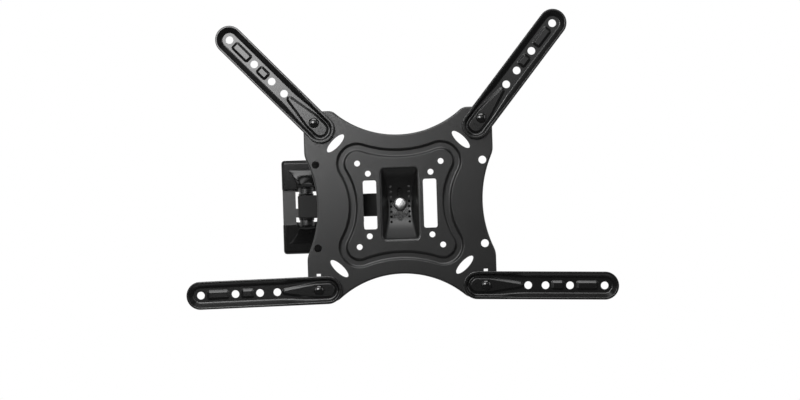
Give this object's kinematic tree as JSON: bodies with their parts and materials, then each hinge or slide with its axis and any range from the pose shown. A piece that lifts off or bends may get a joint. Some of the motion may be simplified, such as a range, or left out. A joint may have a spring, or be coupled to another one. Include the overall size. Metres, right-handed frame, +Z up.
{
  "type": "tv wall mount",
  "caption": "Full motion wall mount for a flat screen: wall bracket with covers, swing arm, swivel and tilt head, stamped screen plate and turning arms.",
  "frame": {"origin": "centre of the wall plate's back face, midway between the wall bolts", "axes": "+X right as seen from the room, +Y into the wall, +Z up"},
  "size_m": [0.5162, 0.0858, 0.3488],
  "materials": {
    "black_steel": "satin black powder coat",
    "black_plastic": "fine moulded black",
    "bright_zinc": "bright zinc plate"
  },
  "bodies": {
    "wall": {"wall_plate": "black_steel", "wall_cover_upper": "black_plastic", "wall_cover_lower": "black_plastic", "wall_pivot_bolt": "bright_zinc", "wall_pivot_washers": "black_steel"},
    "swing_arm": {"swing_arm": "black_steel", "wall_end_bushes": "black_plastic", "head_end_bushes": "black_plastic", "cable_clip": "black_plastic"},
    "head": {"head_yoke": "black_steel", "head_pivot_bolt": "bright_zinc", "head_pivot_nut": "bright_zinc", "head_pivot_washers": "black_steel", "tilt_pad": "black_plastic", "tilt_bolt": "bright_zinc", "tilt_washer": "bright_zinc", "tilt_nut": "bright_zinc"},
    "screen_plate": {"screen_plate": "black_steel", "arm_pivot_bolts": "black_steel", "arm_pivot_washers": "bright_zinc", "arm_pivot_nuts": "bright_zinc"},
    "arm_upper_left": {"arm_upper_left": "black_steel"},
    "arm_upper_right": {"arm_upper_right": "black_steel"},
    "arm_lower_left": {"arm_lower_left": "black_steel"},
    "arm_lower_right": {"arm_lower_right": "black_steel"}
  },
  "joints": [
    {"name": "wall_swivel", "type": "hinge", "parent": "wall", "child": "swing_arm", "pos_m": [0, -0.027, 0], "axis": [0, 0, -1], "range_deg": [0, 180]},
    {"name": "head_swivel", "type": "hinge", "parent": "swing_arm", "child": "head", "pos_m": [0.115, -0.027, 0], "axis": [0, 0, 1], "range_deg": [0, 180]},
    {"name": "tilt", "type": "hinge", "parent": "head", "child": "screen_plate", "pos_m": [0.115, -0.11319, 0], "axis": [1, 0, 0], "range_deg": [-15, 15]},
    {"name": "arm_upper_left_turn", "type": "hinge", "parent": "screen_plate", "child": "arm_upper_left", "pos_m": [0.015, -0.07879, 0.1], "axis": [0, -1, 0], "range_deg": [-43.7, 46.3]},
    {"name": "arm_upper_right_turn", "type": "hinge", "parent": "screen_plate", "child": "arm_upper_right", "pos_m": [0.215, -0.07879, 0.1], "axis": [0, -1, 0], "range_deg": [-51.3, 38.7]},
    {"name": "arm_lower_left_turn", "type": "hinge", "parent": "screen_plate", "child": "arm_lower_left", "pos_m": [0.015, -0.07879, -0.1], "axis": [0, -1, 0], "range_deg": [-0.8, 89.2]},
    {"name": "arm_lower_right_turn", "type": "hinge", "parent": "screen_plate", "child": "arm_lower_right", "pos_m": [0.215, -0.07879, -0.1], "axis": [0, -1, 0], "range_deg": [-88, 2]}
  ]
}
